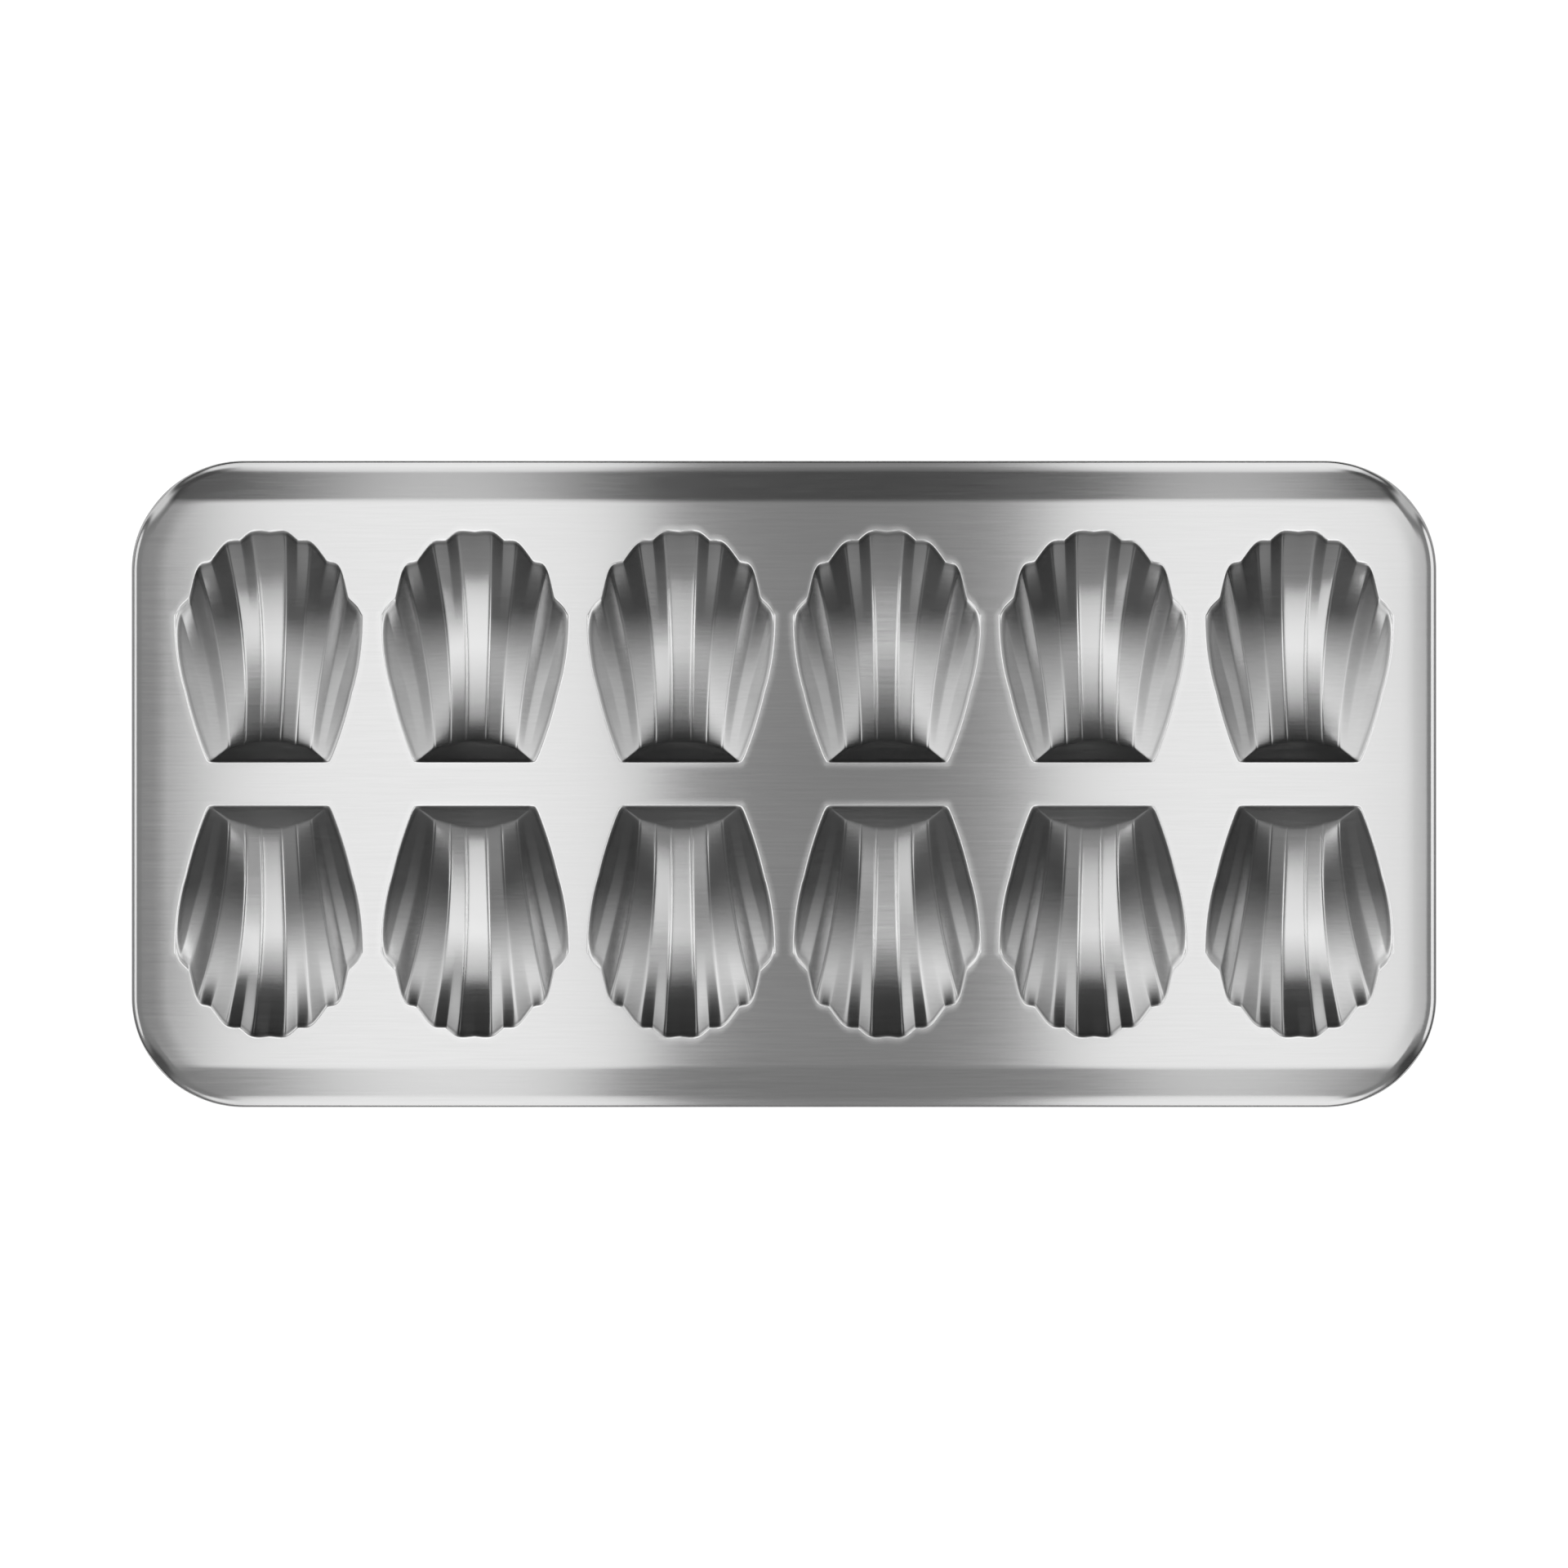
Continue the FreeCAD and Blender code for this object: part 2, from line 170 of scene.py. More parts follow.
def column_ranks():
    """Ranks of the mesh columns, crowded at the odd ranks, which are the grooves."""
    ranks = []
    for groove in range(1, LAST_RANK, 2):
        ranks += [groove - step for step in GROOVE_STEP_SHARES[::-1]]
        ranks += [groove + step for step in GROOVE_STEP_SHARES[1:]]
    ranks = [0] + ranks + [groove + 1 for groove in range(1, LAST_RANK, 2)]
    ranks += [LAST_RANK - step for step in EDGE_STEP_SHARES]
    ranks = np.unique(np.round(ranks, RANK_DIGITS))
    return np.concatenate([-ranks[:0:-1], ranks])


def bend_ease(number, fan_share):
    """How far a bend is rounded: grooves open into lobes, and ridges tighten into notches."""
    if number % 2:
        return GROOVE_EASE_SHARE + (LOBE_EASE_SHARE - GROOVE_EASE_SHARE) * fan_share ** LOBE_EASE_POWER
    return RIDGE_EASE_SHARE + (NOTCH_EASE_SHARE - RIDGE_EASE_SHARE) * fan_share


def across_lines(lines, ranks, fan_share, bead_share=1):
    """One row of the mesh, flat between the lines and bent at each, with its bead in a last column."""
    numbers = np.arange(-LAST_RANK, LAST_RANK + 1)
    lines = lines.copy()
    for index, number in enumerate(numbers):
        if abs(number) in RIDGE_STARTS:
            start = RIDGE_STARTS[abs(number)]
            grown = np.clip((fan_share - start) / (1 - start), 0, 1) ** RIDGE_GROWTH
            flat = (lines[index - 1] + lines[index + 1]) / 2
            lines[index] = flat + grown * (lines[index] - flat)
    row = lines[0] + (ranks[:, None] + LAST_RANK) * (lines[1] - lines[0])
    bead = np.zeros(len(ranks))
    for index, number in enumerate(numbers[1:-1], start=1):
        bend = lines[index + 1] - 2 * lines[index] + lines[index - 1]
        row += bend * eased_ramp(ranks - number, bend_ease(number, fan_share))[:, None]
        if abs(number) in BEAD_RANKS:
            strip = np.linalg.norm(lines[index + 1] - lines[index - 1]) / 2
            bead += np.exp(-((ranks - number) * strip / BEAD_WIDTH) ** 2)
    bead *= bead_share
    row[:, 2] += BEAD_HEIGHT * bead
    return np.column_stack([row, bead])


print("columns across a shell:", len(column_ranks()))

# %% [markdown]
# The rows run from behind the flat end, down its wall, along the bottom and up the fan. They crowd
# at the lip. Past the lip the walls are carried on upwards, and a later step eases them into the
# deck, which rounds the lip and leaves a flat margin where the shell meets the deck unseen.

# %% Rows along the shell
WALL_STEP_SHARES = [0.86, 0.7, 0.5, 0.3, 0.16, 0.07, 0]
LIP_STEPS = [step * MM for step in (0.12, 0.25, 0.4, 0.58, 0.8, 1.1, 1.6, 2.4)]
BASE_STATIONS = [0, 0.03, 0.07, 0.13, 0.22, 0.34, 0.48, 0.62, 0.76, 0.89]
FAN_STATIONS = [0, 0.13, 0.26, 0.38, 0.49, 0.59, 0.68, 0.76, 0.83, 0.885, 0.925, 0.955, 0.976, 0.99, 1]
LIP_LEAST_SLOPE = 0.7
BEAD_END_SHARE = 0.06


def shell_rows(ranks):
    """The rows, how far each lies outside the lip, and which is the foot of the end wall."""
    base, before, belly, after, tip = (both_halves(poles) for poles in shell_poles())
    body = [across_lines(on_curve(base, before, belly, share), ranks, 0) for share in BASE_STATIONS]
    body += [across_lines(on_curve(belly, after, tip, share), ranks, share,
                          min((1 - share) / BEAD_END_SHARE, 1)) for share in FAN_STATIONS]
    foot = body[0]

    def wall_row(places):
        """A row across the end wall, at these places along the shell."""
        rise = -places * math.tan(END_WALL_ANGLE)
        return np.column_stack([foot[:, 0], places, rise, np.zeros(len(ranks))])

    wall = [wall_row(np.full(len(ranks), -step)) for step in LIP_STEPS[::-1]]
    wall += [wall_row(foot[:, 1] * share) for share in WALL_STEP_SHARES[::-1]]
    leaving = tip - after
    leaving /= np.linalg.norm(leaving[:, :2], axis=1)[:, None]
    leaving[:, 2] = np.maximum(leaving[:, 2], LIP_LEAST_SLOPE)
    fan = [across_lines(tip + leaving * step, ranks, 1, 0) for step in LIP_STEPS]
    outward = LIP_STEPS[::-1] + [0] * (len(WALL_STEP_SHARES) + len(body)) + LIP_STEPS
    return np.array(wall + body + fan), np.array(outward), len(wall)


def side_margin(rows, ranks):
    """The right side wall carried on upwards past its lip."""
    inner = np.searchsorted(ranks, LAST_RANK - 1)
    edge, groove = rows[:, -1], rows[:, inner]
    slope = (edge[:, 2] - groove[:, 2]) / (edge[:, 0] - groove[:, 0])
    slope = np.maximum(slope, LIP_LEAST_SLOPE)
    margins = []
    for step in LIP_STEPS:
        margin = edge.copy()
        margin[:, 0] += step
        margin[:, 2] += step * slope
        margins.append(margin)
    return np.stack(margins, axis=1)


print("rows along a shell:", len(shell_rows(column_ranks())[0]))

# %% [markdown]
# The foot of the end wall and the two corners of the flat end are tight on the real shell but never
# sharp. A bevel would need clean edge loops there. Blending the heights of nearby points rounds them
# and leaves the plan of the mesh as it is.

# %% Round the foot and the corners
FILLET_ROWS = 3
CORNER_REACH = 2.6 * MM
CORNER_BLEND = 0.9 * MM


def fillet_foot(rows, foot_row):
    """Blend the heights along the mesh where the end wall meets the bottom."""
    first, last = foot_row - FILLET_ROWS, foot_row + FILLET_ROWS + 1
    before, after = rows[first - 1:last - 1, :, 2], rows[first + 1:last + 1, :, 2]
    rows[first:last, :, 2] = (before + 2 * rows[first:last, :, 2] + after) / 4


def round_corner(surface, corner):
    """Blend the heights round one corner of the flat end, so that its lip turns in a curve."""
    plan = surface[:, :, :2].reshape(-1, 2)
    height = surface[:, :, 2].reshape(-1)
    cell = np.cross(np.gradient(surface, axis=1), np.gradient(surface, axis=0))[:, :, 2].ravel()
    gap = np.linalg.norm(plan - corner, axis=1)
    near = np.flatnonzero(gap < CORNER_REACH)
    around = np.flatnonzero(gap < 2 * CORNER_REACH)
    apart = np.linalg.norm(plan[near, None] - plan[None, around], axis=2)
    weight = np.exp(-(apart / CORNER_BLEND) ** 2) * np.abs(cell[around])
    even = weight @ height[around] / weight.sum(axis=1)
    share = np.minimum(2 - 2 * gap[near] / CORNER_REACH, 1)
    surface.reshape(-1, 3)[near, 2] += share * (even - height[near])


print(f"corners blended within {CORNER_REACH / MM:.1f} mm")

# %% [markdown]
# The press leaves marks that the steel shows later. Inside the shell the sheet is drawn out. Lips
# and beads get a painted highlight, a lighter tone that stands in for the light they catch, with a
# thin painted shade just below the lip. Both are kept as values on the points, because only the
# shape knows where the lips are.

# %% Upper face of the shell, its wear and its painted light
LIP_EASE = 0.3 * MM
HIGHLIGHT_PLACE = 0.12 * MM
HIGHLIGHT_WIDTH = 0.2 * MM
BEAD_HIGHLIGHT = 0.6
SHADE_PLACE = -0.5 * MM
SHADE_WIDTH = 0.25 * MM
SHADE_SHARE = 0.8
DRAWN_REACH = 2.0 * MM


def lip_painted_light(height, bead):
    """Painted highlight at the lip and on the beads, and painted shade just below the lip."""
    # painted highlight: a lighter tone along the lip and the beads, standing in for the light they catch
    lip = np.exp(-((height - HIGHLIGHT_PLACE) / HIGHLIGHT_WIDTH) ** 2)
    # painted shade: a darker tone just below the lip
    shade = np.exp(-((height - SHADE_PLACE) / SHADE_WIDTH) ** 2)
    return lip + BEAD_HIGHLIGHT * bead - SHADE_SHARE * shade


def shell_surface():
    """The upper face of one shell, with its deck at zero height, and the wear and painted light of its
    points.
    """
    ranks = column_ranks()
    rows, along_out, foot_row = shell_rows(ranks)
    fillet_foot(rows, foot_row)
    right = side_margin(rows, ranks)
    left = right[:, ::-1] * [-1, 1, 1, 1]
    surface, bead = np.split(np.concatenate([left, rows, right], axis=1), [3], axis=2)
    for side in (-1, 1):
        round_corner(surface, [side * BASE_WIDTH / 2, 0])
    across_out = np.array(LIP_STEPS[::-1] + [0] * len(ranks) + LIP_STEPS)
    out = np.hypot(along_out[:, None], across_out[None, :])
    # painted highlight and shade at the lips and beads, and how far the steel is drawn out
    wear_and_painted_light = {"burnish": lip_painted_light(surface[:, :, 2], bead[:, :, 0]),
            "drawn": 1 - np.clip(out / DRAWN_REACH, 0, 1)}
    surface[:, :, 2] = -eased_ramp(-surface[:, :, 2], LIP_EASE)
    return surface, wear_and_painted_light


shell, shell_wear_and_painted_light = shell_surface()
print(f"one shell: {shell.shape[0]} rows of {shell.shape[1]} points, "
      f"{-shell[:, :, 2].min() / MM:.2f} mm deep")

# %% [markdown]
# Smooth shading hides the facets of a curved sheet, but its cut edges have to stay crisp, so edges
# past a set angle are marked sharp. The steel also has to know which way it was brushed. Unwrapping
# would turn with every fold, but the sheet was brushed flat, so a map seen from above serves best.

# %% Shade a sheet and map its brushing
SHARP_ANGLE = math.radians(40)


def finish_sheet(mesh):
    """Shade a sheet, and give it a plan map whose first axis lies across the brushed lines."""
    layer = mesh.uv_layers.new(name="brush")
    corners = np.zeros(len(mesh.loops), np.int32)
    mesh.loops.foreach_get("vertex_index", corners)
    places = np.zeros(len(mesh.vertices) * 3, np.float32)
    mesh.vertices.foreach_get("co", places)
    places = places.reshape(-1, 3)
    layer.data.foreach_set("uv", places[corners][:, [1, 0]].ravel())
    mesh.polygons.foreach_set("use_smooth", [True] * len(mesh.polygons))
    mesh.set_sharp_from_angle(angle=SHARP_ANGLE)


print(f"edges past {math.degrees(SHARP_ANGLE):.0f} degrees stay sharp")

# %% [markdown]
# The shell is sheet, so it needs a second face below the first. Moving each point along its normal
# would fold the tight ridges, so the lower face is dropped straight down by the sheet's thickness
# divided by the steepness of the face there, which keeps the wall even and never crosses itself.

# %% Give the shell its thickness
STEEPEST_SHARE = 0.38


def grid_faces(rows, columns):
    """Four-sided faces of a grid, facing up."""
    index = np.arange(rows * columns).reshape(rows, columns)
    corners = [index[:-1, :-1], index[:-1, 1:], index[1:, 1:], index[1:, :-1]]
    return np.stack([corner.ravel() for corner in corners], axis=1)


def grid_border(rows, columns):
    """Points round the edge of a grid, anticlockwise from above."""
    index = np.arange(rows * columns).reshape(rows, columns)
    return np.concatenate([index[0, :-1], index[:-1, -1], index[-1, :0:-1], index[:0:-1, 0]])


def shell_mesh(surface, wear_and_painted_light):
    """A closed sheet below the upper face, with the wear and painted light on its points."""
    rows, columns = surface.shape[:2]
    normal = np.cross(np.gradient(surface, axis=1), np.gradient(surface, axis=0))
    upright = np.clip(normal[:, :, 2] / np.linalg.norm(normal, axis=2), STEEPEST_SHARE, 1)
    lower = surface.copy()
    lower[:, :, 2] -= SHEET_THICKNESS / upright
    lower[:, :, 2] = np.maximum(lower[:, :, 2], -deck_height)
    border = grid_border(rows, columns)
    lower[:, :, 2].reshape(-1)[border] = -SHEET_THICKNESS
    upper_faces = grid_faces(rows, columns)
    count = rows * columns
    following = np.roll(border, -1)
    walls = np.stack([border + count, following + count, following, border], axis=1)
    faces = np.concatenate([upper_faces, upper_faces[:, ::-1] + count, walls])
    points = np.concatenate([surface.reshape(-1, 3), lower.reshape(-1, 3)])
    mesh = bpy.data.meshes.new("shell_pattern")
    mesh.from_pydata(points.tolist(), [], faces.tolist())
    for name, values in wear_and_painted_light.items():
        layer = mesh.attributes.new(name, "FLOAT", "POINT")
        layer.data.foreach_set("value", np.concatenate([values.ravel(), values.ravel()]))
    finish_sheet(mesh)
    return mesh


pattern = bpy.data.objects.new("shell_pattern", shell_mesh(shell, shell_wear_and_painted_light))
shell_outline = shell.reshape(-1, 3)[grid_border(*shell.shape[:2])]
print("shell faces:", len(pattern.data.polygons), "outline points:", len(shell_outline))

# %% [markdown]
# ## Brushed steel
# The sheet is steel brushed along its length before pressing. Close up, that is fine lines with
# softer handling marks over them. A picture of steel would repeat and has no sense of the lines'
# direction, so two small node groups make the lines and the marks from Object coordinates, and the
# shader itself is told to spread light across the lines.

# %% Node groups for the brushed lines and the handling marks
BRUSH_STRETCH = (45, 1500, 400)
MARK_SIZE = (16, 26, 20)
NOISE_SPAN = (0.3, 0.7)


def add_node(tree, kind, place, **settings):
    """A node at a place in its tree, with its properties set."""
    node = tree.nodes.new(kind)
    node.location = place
    for name, value in settings.items():
        setattr(node, name, value)
    return node


def link_all(tree, links):
    """Join outputs to inputs, each given as node, output, node, input."""
    for source, output, target, entry in links:
        tree.links.new(source.outputs[output], target.inputs[entry])


def pattern_group(name, scale, detail, roughness, output):
    """A group that turns Object coordinates into one stretched noise from Low to High."""
    group = bpy.data.node_groups.new(name, "ShaderNodeTree")
    for label in ("Low", "High"):
        group.interface.new_socket(label, in_out="INPUT", socket_type="NodeSocketFloat")
    group.interface.new_socket(output, in_out="OUTPUT", socket_type="NodeSocketFloat")
    given = add_node(group, "NodeGroupInput", (-200, -200))
    result = add_node(group, "NodeGroupOutput", (400, 0))
    place = add_node(group, "ShaderNodeTexCoord", (-800, 0))
    stretch = add_node(group, "ShaderNodeMapping", (-600, 0))
    stretch.inputs["Scale"].default_value = scale
    noise = add_node(group, "ShaderNodeTexNoise", (-400, 0))
    noise.inputs["Scale"].default_value = 1
    noise.inputs["Detail"].default_value = detail
    noise.inputs["Roughness"].default_value = roughness
    spread = add_node(group, "ShaderNodeMapRange", (100, 0))
    spread.inputs["From Min"].default_value = NOISE_SPAN[0]
    spread.inputs["From Max"].default_value = NOISE_SPAN[1]
    link_all(group, [
        (place, "Object", stretch, "Vector"),
        (stretch, "Vector", noise, "Vector"),
        (noise, "Fac", spread, "Value"),
        (given, "Low", spread, "To Min"),
        (given, "High", spread, "To Max"),
        (spread, "Result", result, output),
    ])
    return group


brush_lines = pattern_group("brush_lines", BRUSH_STRETCH, detail=3, roughness=0.6, output="Lines")
handling_marks = pattern_group("handling_marks", MARK_SIZE, detail=4, roughness=0.55, output="Marks")
print("groups:", brush_lines.name, handling_marks.name)

# %% [markdown]
# Materials are mostly sums. Two helpers keep them readable: one makes a Math node from outputs or
# plain numbers, the other fades between two numbers as a value rises. A third places a pattern
# group with the range that a material wants from it.

# %% Helpers for sums in a material
def math_node(tree, operation, place, *terms, **settings):
    """The output of a Math node whose terms are outputs of other nodes or plain numbers."""
    node = add_node(tree, "ShaderNodeMath", place, operation=operation, **settings)
    for entry, term in zip(node.inputs, terms):
        if isinstance(term, bpy.types.NodeSocket):
            tree.links.new(term, entry)
        else:
            entry.default_value = term
    return node.outputs["Value"]


def fade_node(tree, place, value, low, high, start=0, end=1, **settings):
    """The output of a Map Range node: low while value is at start, high when it is at end."""
    node = add_node(tree, "ShaderNodeMapRange", place, **settings)
    node.inputs["From Min"].default_value = start
    node.inputs["From Max"].default_value = end
    node.inputs["To Min"].default_value = low
    node.inputs["To Max"].default_value = high
    tree.links.new(value, node.inputs["Value"])
    return node.outputs["Result"]


def place_group(tree, group, place, low, high):
    """The output of a pattern group in a material, with its own range."""
    node = add_node(tree, "ShaderNodeGroup", place, node_tree=group)
    node.inputs["Low"].default_value = low
    node.inputs["High"].default_value = high
    return node.outputs[0]


print("pattern outputs:", [group.interface.items_tree[0].name for group in (brush_lines, handling_marks)])

# %% [markdown]
# The lines and the marks change the tone and the gloss by a few parts in a hundred. Where the sheet
# is drawn out in the shells, the steel is less glossy and its lines are wiped out, and its tone is
# painted a little lighter to stand in for the light the shells catch. Lips and beads get a painted
# highlight, with a painted shade just below the lip. The wire is darker and duller, from the same rules.

# %% Tone, gloss and relief of the steel
SHEET_TONE = 0.74
SHEET_ROUGHNESS = 0.185
WIRE_TONE = 0.6
WIRE_ROUGHNESS = 0.35
LINE_TONES = (0.965, 1.028)
MARK_TONES = (0.97, 1.015)
LINE_GLOSS = (0.94, 1.06)
MARK_GLOSS = (0.93, 1.08)
LINE_RELIEF = 0.001 * MM
# painted light: the steel inside the shells is made lighter to stand in for the light they catch
DRAWN_PAINTED_LIFT = 1.18
DRAWN_ROUGHNESS = 1.16
DRAWN_RELIEF = 0
PAINTED_LIGHT_LIFT = 0.35


def steel(name, tone, roughness):
    """Metal whose tone and gloss vary with the brushed lines, the marks, the press's wear and painted
    light.
    """
    material = bpy.data.materials.new(name)
    material.use_nodes = True
    tree = material.node_tree
    shader = tree.nodes["Principled BSDF"]
    shader.inputs["Metallic"].default_value = 1
    drawn = add_node(tree, "ShaderNodeAttribute", (-1300, -500), attribute_name="drawn").outputs["Fac"]
    # painted highlight and shade at the lips and beads, read from the shell's points
    painted_light_value = add_node(tree, "ShaderNodeAttribute", (-1300, 500), attribute_name="burnish").outputs["Fac"]

    line_tone = place_group(tree, brush_lines, (-1100, 300), tone * LINE_TONES[0], tone * LINE_TONES[1])
    mark_tone = place_group(tree, handling_marks, (-1100, 100), *MARK_TONES)
    toned = math_node(tree, "MULTIPLY", (-800, 250), line_tone, mark_tone)
    # painted light: a lighter tone inside the shells, standing in for the light they catch
    drawn_painted_lift = fade_node(tree, (-800, 0), drawn, 1, DRAWN_PAINTED_LIFT)
    lighter = math_node(tree, "MULTIPLY", (-600, 250), toned, drawn_painted_lift)
    # the painted highlight lightens the tone at lips and beads, the painted shade darkens it below the
    # lip
    painted_light_tone = math_node(tree, "MULTIPLY_ADD", (-800, 500), painted_light_value, PAINTED_LIGHT_LIFT, 1)
    grey = math_node(tree, "MULTIPLY", (-400, 350), lighter, painted_light_tone, use_clamp=True)
    colour = add_node(tree, "ShaderNodeCombineColor", (-200, 350))
    for channel in ("Red", "Green", "Blue"):
        tree.links.new(grey, colour.inputs[channel])
    tree.links.new(colour.outputs["Color"], shader.inputs["Base Color"])

    line_gloss = place_group(tree, brush_lines, (-1100, -150), roughness * LINE_GLOSS[0],
                             roughness * LINE_GLOSS[1])
    mark_gloss = place_group(tree, handling_marks, (-1100, -350), *MARK_GLOSS)
    gloss = math_node(tree, "MULTIPLY", (-800, -250), line_gloss, mark_gloss)
    drawn_gloss = fade_node(tree, (-800, -500), drawn, 1, DRAWN_ROUGHNESS)
    tree.links.new(math_node(tree, "MULTIPLY", (-600, -350), gloss, drawn_gloss),
                   shader.inputs["Roughness"])

    bump = add_node(tree, "ShaderNodeBump", (-400, -700))
    bump.inputs["Distance"].default_value = LINE_RELIEF
    tree.links.new(place_group(tree, brush_lines, (-800, -1000), 0, 1), bump.inputs["Height"])
    tree.links.new(fade_node(tree, (-800, -750), drawn, 1, DRAWN_RELIEF), bump.inputs["Strength"])
    tree.links.new(bump.outputs["Normal"], shader.inputs["Normal"])
    return material


sheet_steel = steel("brushed_sheet_steel", SHEET_TONE, SHEET_ROUGHNESS)
wire_steel = steel("drawn_wire_steel", WIRE_TONE, WIRE_ROUGHNESS)
print("materials:", sheet_steel.name, wire_steel.name)

# %% [markdown]
# Brushed steel draws a lamp out into a band across its lines. The shader does that with anisotropy
# along the brush map. In the shells the pull of the press outweighs the brush, so there the spread
# is weaker and turned by a quarter.

# %% Spread the light across the brushed lines
SHEET_ANISOTROPY = 0.85
DRAWN_ANISOTROPY = 0.35
QUARTER_TURN = 0.25


def spread_light(material, flat_spread, drawn_spread):
    """Stretch reflections across the lines on the flat, and along the pull where it is drawn out."""
    tree = material.node_tree
    shader = tree.nodes["Principled BSDF"]
    drawn = add_node(tree, "ShaderNodeAttribute", (-1100, -1250), attribute_name="drawn").outputs["Fac"]
    turned = fade_node(tree, (-800, -1250), drawn, flat_spread, -drawn_spread)
    spread = math_node(tree, "ABSOLUTE", (-600, -1200), turned)
    flipped = math_node(tree, "LESS_THAN", (-600, -1400), turned, 0)
    quarter = math_node(tree, "MULTIPLY", (-400, -1400), flipped, QUARTER_TURN)
    across = add_node(tree, "ShaderNodeTangent", (-400, -1000), direction_type="UV_MAP", uv_map="brush")
    tree.links.new(spread, shader.inputs["Anisotropic"])
    tree.links.new(quarter, shader.inputs["Anisotropic Rotation"])
    tree.links.new(across.outputs["Tangent"], shader.inputs["Tangent"])


spread_light(sheet_steel, SHEET_ANISOTROPY, DRAWN_ANISOTROPY)
print("sheet steel:", len(sheet_steel.node_tree.nodes), "nodes")

# %% [markdown]
# ## Two rows of shells
# Twelve copies of one shell could be placed by a loop, but then each copy is a mesh of its own to
# keep in step. A Geometry Nodes tree holds the rule instead: points along a row, the shell on each
# point, all made real at the end. The two rows are the same tree with other inputs.

# %% Tree that sets shells along a row
def new_tree(name, sockets):
    """A Geometry Nodes tree with named inputs, and the identifier of each input."""
    tree = bpy.data.node_groups.new(name, "GeometryNodeTree")
    tree.interface.new_socket("Geometry", in_out="INPUT", socket_type="NodeSocketGeometry")
    made = {}
    for label, kind in sockets.items():
        made[label] = tree.interface.new_socket(label, in_out="INPUT", socket_type=kind).identifier
    tree.interface.new_socket("Geometry", in_out="OUTPUT", socket_type="NodeSocketGeometry")
    return tree, made


row_tree, row_sockets = new_tree("row_of_shells", {
    "Shell": "NodeSocketObject",
    "Columns": "NodeSocketInt",
    "First Place": "NodeSocketVector",
    "Pitch": "NodeSocketVector",
    "Turn": "NodeSocketVector",
    "Material": "NodeSocketMaterial",
})
given = add_node(row_tree, "NodeGroupInput", (-600, 0))
result = add_node(row_tree, "NodeGroupOutput", (800, 0))
points = add_node(row_tree, "GeometryNodeMeshLine", (-300, 200), mode="OFFSET")
shape = add_node(row_tree, "GeometryNodeObjectInfo", (-300, -100))
shape.inputs["As Instance"].default_value = True
copies = add_node(row_tree, "GeometryNodeInstanceOnPoints", (0, 100))
real = add_node(row_tree, "GeometryNodeRealizeInstances", (250, 100))
dressed = add_node(row_tree, "GeometryNodeSetMaterial", (500, 100))
link_all(row_tree, [
    (given, "Columns", points, "Count"),
    (given, "First Place", points, "Start Location"),
    (given, "Pitch", points, "Offset"),
    (given, "Shell", shape, "Object"),
    (points, "Mesh", copies, "Points"),
    (shape, "Geometry", copies, "Instance"),
    (given, "Turn", copies, "Rotation"),
    (copies, "Instances", real, "Geometry"),
    (real, "Geometry", dressed, "Geometry"),
    (given, "Material", dressed, "Material"),
    (dressed, "Geometry", result, "Geometry"),
])
print("row tree:", len(row_tree.nodes), "nodes")

# %% [markdown]
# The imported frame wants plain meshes, so each row is evaluated once, its result is kept as a mesh,
# and the modifier goes. The piece then rides on the pan's body and stands for the CAD nodes that it
# dresses.

# %% Make both rows plain meshes
def add_object(name, data):
    """A new object in the scene."""
    thing = bpy.data.objects.new(name, data)
    bpy.context.scene.collection.objects.link(thing)
    return thing


def bake_modifiers(piece):
    """Swap a piece's mesh for what its modifiers make of it, and remove them."""
    graph = bpy.context.evaluated_depsgraph_get()
    graph.update()
    made = bpy.data.meshes.new_from_object(piece.evaluated_get(graph), depsgraph=graph,
                                           preserve_all_data_layers=True)
    piece.modifiers.clear()
    piece.data = made
    made.name = piece.name


def run_tree(name, tree, sockets, values):
    """Evaluate a tree with its inputs set, and keep the result as a plain mesh."""
    piece = add_object(name, bpy.data.meshes.new(name))
    modifier = piece.modifiers.new("rule", "NODES")
    modifier.node_group = tree
    for label, value in values.items():
        modifier[sockets[label]] = value
    bake_modifiers(piece)
    return piece


def settle(piece, nodes):
    """Let a piece ride on the pan and stand for its CAD nodes."""
    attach(piece, "root")
    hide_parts(*nodes)
    triangles = sum(len(face.vertices) - 2 for face in piece.data.polygons)
    print(f"{piece.name}: {triangles} triangles, stands for {len(nodes)} nodes")


for name, nodes, side, turn in (("moulds_rear", rear_nodes, 1, 0),
                                ("moulds_front", front_nodes, -1, math.pi)):
    row = run_tree(name, row_tree, row_sockets, {
        "Shell": pattern,
        "Columns": len(nodes),
        "First Place": (column_places[0], side * row_place, deck_height),
        "Pitch": (mould_pitch, 0, 0),
        "Turn": (0, 0, turn),
        "Material": sheet_steel,
    })
    settle(row, nodes)
bpy.data.objects.remove(pattern)

# %% [markdown]
# ## The tray
# The deck is flat. Along both long sides it falls away at a crease, and it levels out again in a
# narrow land at the rim, with a faint valley along it. Towards the short ends it sinks by a hair,
# and the press has left a shallow dip at each corner. All of that is a height above the plan, so one
# function gives the height of any place.

# %% Height of the tray
CORNER_RADIUS = 34.0 * MM
SIDE_RUN = 12.55 * MM
SIDE_SLOPE = math.radians(13.5)
CREASE_EASE = 0.8 * MM
RIM_LAND = 3.0 * MM
LAND_EASE = 0.7 * MM
END_BAND = 8.8 * MM
END_SLOPE = math.tan(math.radians(0.75))
END_EASE = 2.1 * MM
DIP_BAND = 3.0 * MM
DIP_EASE = 1.5 * MM
DIP_SLOPE = math.tan(math.radians(25))
DIP_PLACE = math.radians(38)
DIP_SPREAD = math.radians(10)


